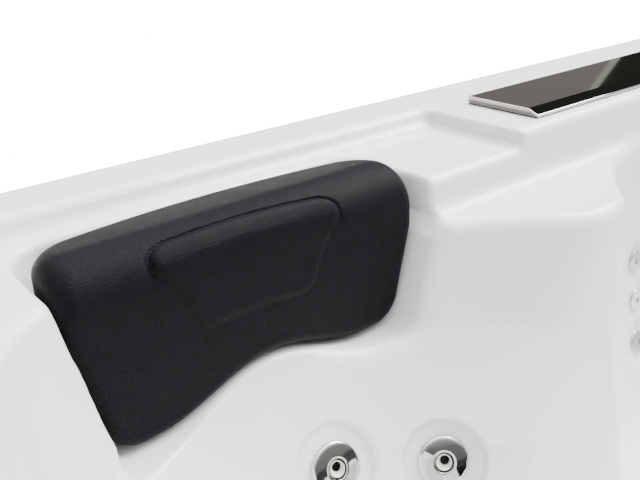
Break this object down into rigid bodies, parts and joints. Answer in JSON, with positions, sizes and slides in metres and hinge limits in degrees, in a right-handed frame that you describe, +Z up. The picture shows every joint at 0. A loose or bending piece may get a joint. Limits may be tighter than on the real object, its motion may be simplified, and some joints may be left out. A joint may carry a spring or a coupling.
{
  "type": "hot tub",
  "caption": "Square acrylic hot tub with corner bucket seats, dark head pillows, a polished waterfall strip, massage jets and a slatted cabinet.",
  "frame": {"origin": "middle of the footprint, on the floor", "axes": "+X to the right seen from the access panel, +Y towards the waterfall side, +Z up"},
  "size_m": [2.2, 2.2, 0.934],
  "materials": {
    "white_acrylic": "glossy white acrylic",
    "black_abs": "matt black moulded plastic",
    "painted_frame": "galvanised and painted steel tube",
    "cabinet_grey": "dark grey composite boards with a fine grain",
    "stainless": "brushed stainless steel",
    "mirror_steel": "mirror polished stainless steel",
    "white_pvc": "white moulded PVC",
    "clear_hose": "translucent flexible hose",
    "pillow_skin": "charcoal self-skinned foam with a fine leather grain",
    "grey_gloss": "satin dark grey plastic",
    "black_gloss": "gloss black plastic",
    "ivory_plastic": "ivory moulded plastic",
    "clear_lens": "clear moulded lens",
    "filter_paper": "pleated polyester fleece",
    "motor_paint": "dark painted motor casing"
  },
  "bodies": {
    "tub": {"acrylic_shell": "white_acrylic", "base_pan": "black_abs", "bottom_frame": "painted_frame", "frame_posts": "painted_frame", "top_rail": "painted_frame", "front_panel": "cabinet_grey", "side_panels": "cabinet_grey", "corner_covers": "cabinet_grey", "panel_screws": "stainless", "footwell_supports": "black_abs", "water_ring": "white_pvc", "ring_clips": "black_abs", "jet_bodies": "white_pvc", "jet_nuts": "white_pvc", "jet_hoses": "clear_hose", "small_jet_faces": "mirror_steel", "small_jet_bodies": "white_pvc", "jet_manifolds": "white_pvc", "waterfall_strip": "mirror_steel", "waterfall_body": "black_abs", "pillow_pegs": "black_abs", "filter_canister": "white_pvc", "skimmer_throat": "grey_gloss", "diverter_valve_bodies": "white_pvc", "air_valve_bodies": "white_pvc", "topside_panel": "black_gloss", "suction_covers": "grey_gloss", "light_lens": "clear_lens", "pump_motor": "motor_paint", "pump_wet_end": "black_abs", "equipment_stands": "black_abs", "heater_tube": "stainless", "pump_pipes": "white_pvc", "control_box": "black_abs", "drain_valve": "black_abs"},
    "jet_face_left_outer": {"jet_face_left_outer": "mirror_steel"},
    "jet_nozzle_left_outer": {"jet_nozzle_left_outer": "ivory_plastic"},
    "jet_face_left_inner": {"jet_face_left_inner": "mirror_steel"},
    "jet_nozzle_left_inner": {"jet_nozzle_left_inner": "ivory_plastic"},
    "jet_face_right_outer": {"jet_face_right_outer": "mirror_steel"},
    "jet_nozzle_right_outer": {"jet_nozzle_right_outer": "ivory_plastic"},
    "jet_face_right_inner": {"jet_face_right_inner": "mirror_steel"},
    "jet_nozzle_right_inner": {"jet_nozzle_right_inner": "ivory_plastic"},
    "pillow_back_left": {"pillow_back_left": "pillow_skin"},
    "pillow_back_right": {"pillow_back_right": "pillow_skin"},
    "pillow_front_left": {"pillow_front_left": "pillow_skin"},
    "pillow_front_right": {"pillow_front_right": "pillow_skin"},
    "diverter_knob_front": {"diverter_knob_front": "grey_gloss"},
    "diverter_knob_back": {"diverter_knob_back": "grey_gloss"},
    "air_knob_front": {"air_knob_front": "grey_gloss"},
    "air_knob_back": {"air_knob_back": "grey_gloss"},
    "filter_lid": {"filter_lid": "grey_gloss"},
    "filter_cartridge": {"filter_cartridge": "filter_paper"},
    "weir_flap": {"weir_flap": "grey_gloss"},
    "pump_rotor": {"pump_rotor": "stainless"},
    "drain_cap": {"drain_cap": "black_abs"},
    "button_jets": {"button_jets": "grey_gloss"},
    "button_light": {"button_light": "grey_gloss"},
    "button_heat": {"button_heat": "grey_gloss"}
  },
  "joints": [
    {"name": "jet_face_left_outer_turn", "type": "hinge", "parent": "tub", "child": "jet_face_left_outer", "pos_m": [-0.6554, 0.82468, 0.638], "axis": [-0.0916, -0.8863, 0.454], "range_deg": [-90, 90]},
    {"name": "jet_nozzle_left_outer_tilt", "type": "hinge", "parent": "jet_face_left_outer", "child": "jet_nozzle_left_outer", "pos_m": [-0.65458, 0.83266, 0.63391], "axis": [0, -0.4559, -0.89], "range_deg": [-10, 10]},
    {"name": "jet_face_left_inner_turn", "type": "hinge", "parent": "tub", "child": "jet_face_left_inner", "pos_m": [-0.5517, 0.77978, 0.6174], "axis": [-0.4627, -0.7615, 0.454], "range_deg": [-90, 90]},
    {"name": "jet_nozzle_left_inner_tilt", "type": "hinge", "parent": "jet_face_left_inner", "child": "jet_nozzle_left_inner", "pos_m": [-0.54754, 0.78663, 0.61331], "axis": [-0.8546, 0.5193, 0], "range_deg": [-10, 10]},
    {"name": "jet_face_right_outer_turn", "type": "hinge", "parent": "tub", "child": "jet_face_right_outer", "pos_m": [0.6554, 0.82468, 0.638], "axis": [0.0916, -0.8863, 0.454], "range_deg": [-90, 90]},
    {"name": "jet_nozzle_right_outer_tilt", "type": "hinge", "parent": "jet_face_right_outer", "child": "jet_nozzle_right_outer", "pos_m": [0.65458, 0.83266, 0.63391], "axis": [0, -0.4559, -0.89], "range_deg": [-10, 10]},
    {"name": "jet_face_right_inner_turn", "type": "hinge", "parent": "tub", "child": "jet_face_right_inner", "pos_m": [0.5517, 0.77978, 0.6174], "axis": [0.4627, -0.7615, 0.454], "range_deg": [-90, 90]},
    {"name": "jet_nozzle_right_inner_tilt", "type": "hinge", "parent": "jet_face_right_inner", "child": "jet_nozzle_right_inner", "pos_m": [0.54754, 0.78663, 0.61331], "axis": [0.8546, 0.5193, 0], "range_deg": [-10, 10]},
    {"name": "pillow_back_left_lift", "type": "slide", "parent": "tub", "child": "pillow_back_left", "axis": [0, 0, 1], "range_m": [0, 0.06]},
    {"name": "pillow_back_right_lift", "type": "slide", "parent": "tub", "child": "pillow_back_right", "axis": [0, 0, 1], "range_m": [0, 0.06]},
    {"name": "pillow_front_left_lift", "type": "slide", "parent": "tub", "child": "pillow_front_left", "axis": [0, 0, 1], "range_m": [0, 0.06]},
    {"name": "pillow_front_right_lift", "type": "slide", "parent": "tub", "child": "pillow_front_right", "axis": [0, 0, 1], "range_m": [0, 0.06]},
    {"name": "diverter_knob_front_turn", "type": "hinge", "parent": "tub", "child": "diverter_knob_front", "pos_m": [-0.985, -0.075, 0.9], "axis": [0, 0, 1], "range_deg": [0, 180]},
    {"name": "diverter_knob_back_turn", "type": "hinge", "parent": "tub", "child": "diverter_knob_back", "pos_m": [-0.985, 0.075, 0.9], "axis": [0, 0, 1], "range_deg": [0, 180]},
    {"name": "air_knob_front_turn", "type": "hinge", "parent": "tub", "child": "air_knob_front", "pos_m": [-0.985, -0.19, 0.9], "axis": [0, 0, 1], "range_deg": [0, 90]},
    {"name": "air_knob_back_turn", "type": "hinge", "parent": "tub", "child": "air_knob_back", "pos_m": [-0.985, 0.19, 0.9], "axis": [0, 0, 1], "range_deg": [0, 90]},
    {"name": "filter_lid_lift", "type": "slide", "parent": "tub", "child": "filter_lid", "axis": [0, 0, 1], "range_m": [0, 0.4]},
    {"name": "filter_cartridge_lift", "type": "slide", "parent": "tub", "child": "filter_cartridge", "axis": [0, 0, 1], "range_m": [0, 0.36]},
    {"name": "weir_flap_swing", "type": "hinge", "parent": "tub", "child": "weir_flap", "pos_m": [0.78, 0, 0.692], "axis": [0, 1, 0], "range_deg": [0, 60]},
    {"name": "pump_rotor_spin", "type": "hinge", "parent": "tub", "child": "pump_rotor", "pos_m": [-0.6, -0.74, 0.17302], "axis": [1, 0, 0], "continuous": true},
    {"name": "drain_cap_turn", "type": "hinge", "parent": "tub", "child": "drain_cap", "pos_m": [-0.85, -1.085, 0.11], "axis": [0, -1, 0], "range_deg": [0, 90]},
    {"name": "button_jets_press", "type": "slide", "parent": "tub", "child": "button_jets", "axis": [0, 0, -1], "range_m": [0, 0.001], "stiffness_N_per_m": 400},
    {"name": "button_light_press", "type": "slide", "parent": "tub", "child": "button_light", "axis": [0, 0, -1], "range_m": [0, 0.001], "stiffness_N_per_m": 400},
    {"name": "button_heat_press", "type": "slide", "parent": "tub", "child": "button_heat", "axis": [0, 0, -1], "range_m": [0, 0.001], "stiffness_N_per_m": 400}
  ],
  "couplings": [
    {"joint": "filter_cartridge_lift", "follows": "filter_lid_lift", "ratio": 0.9}
  ]
}
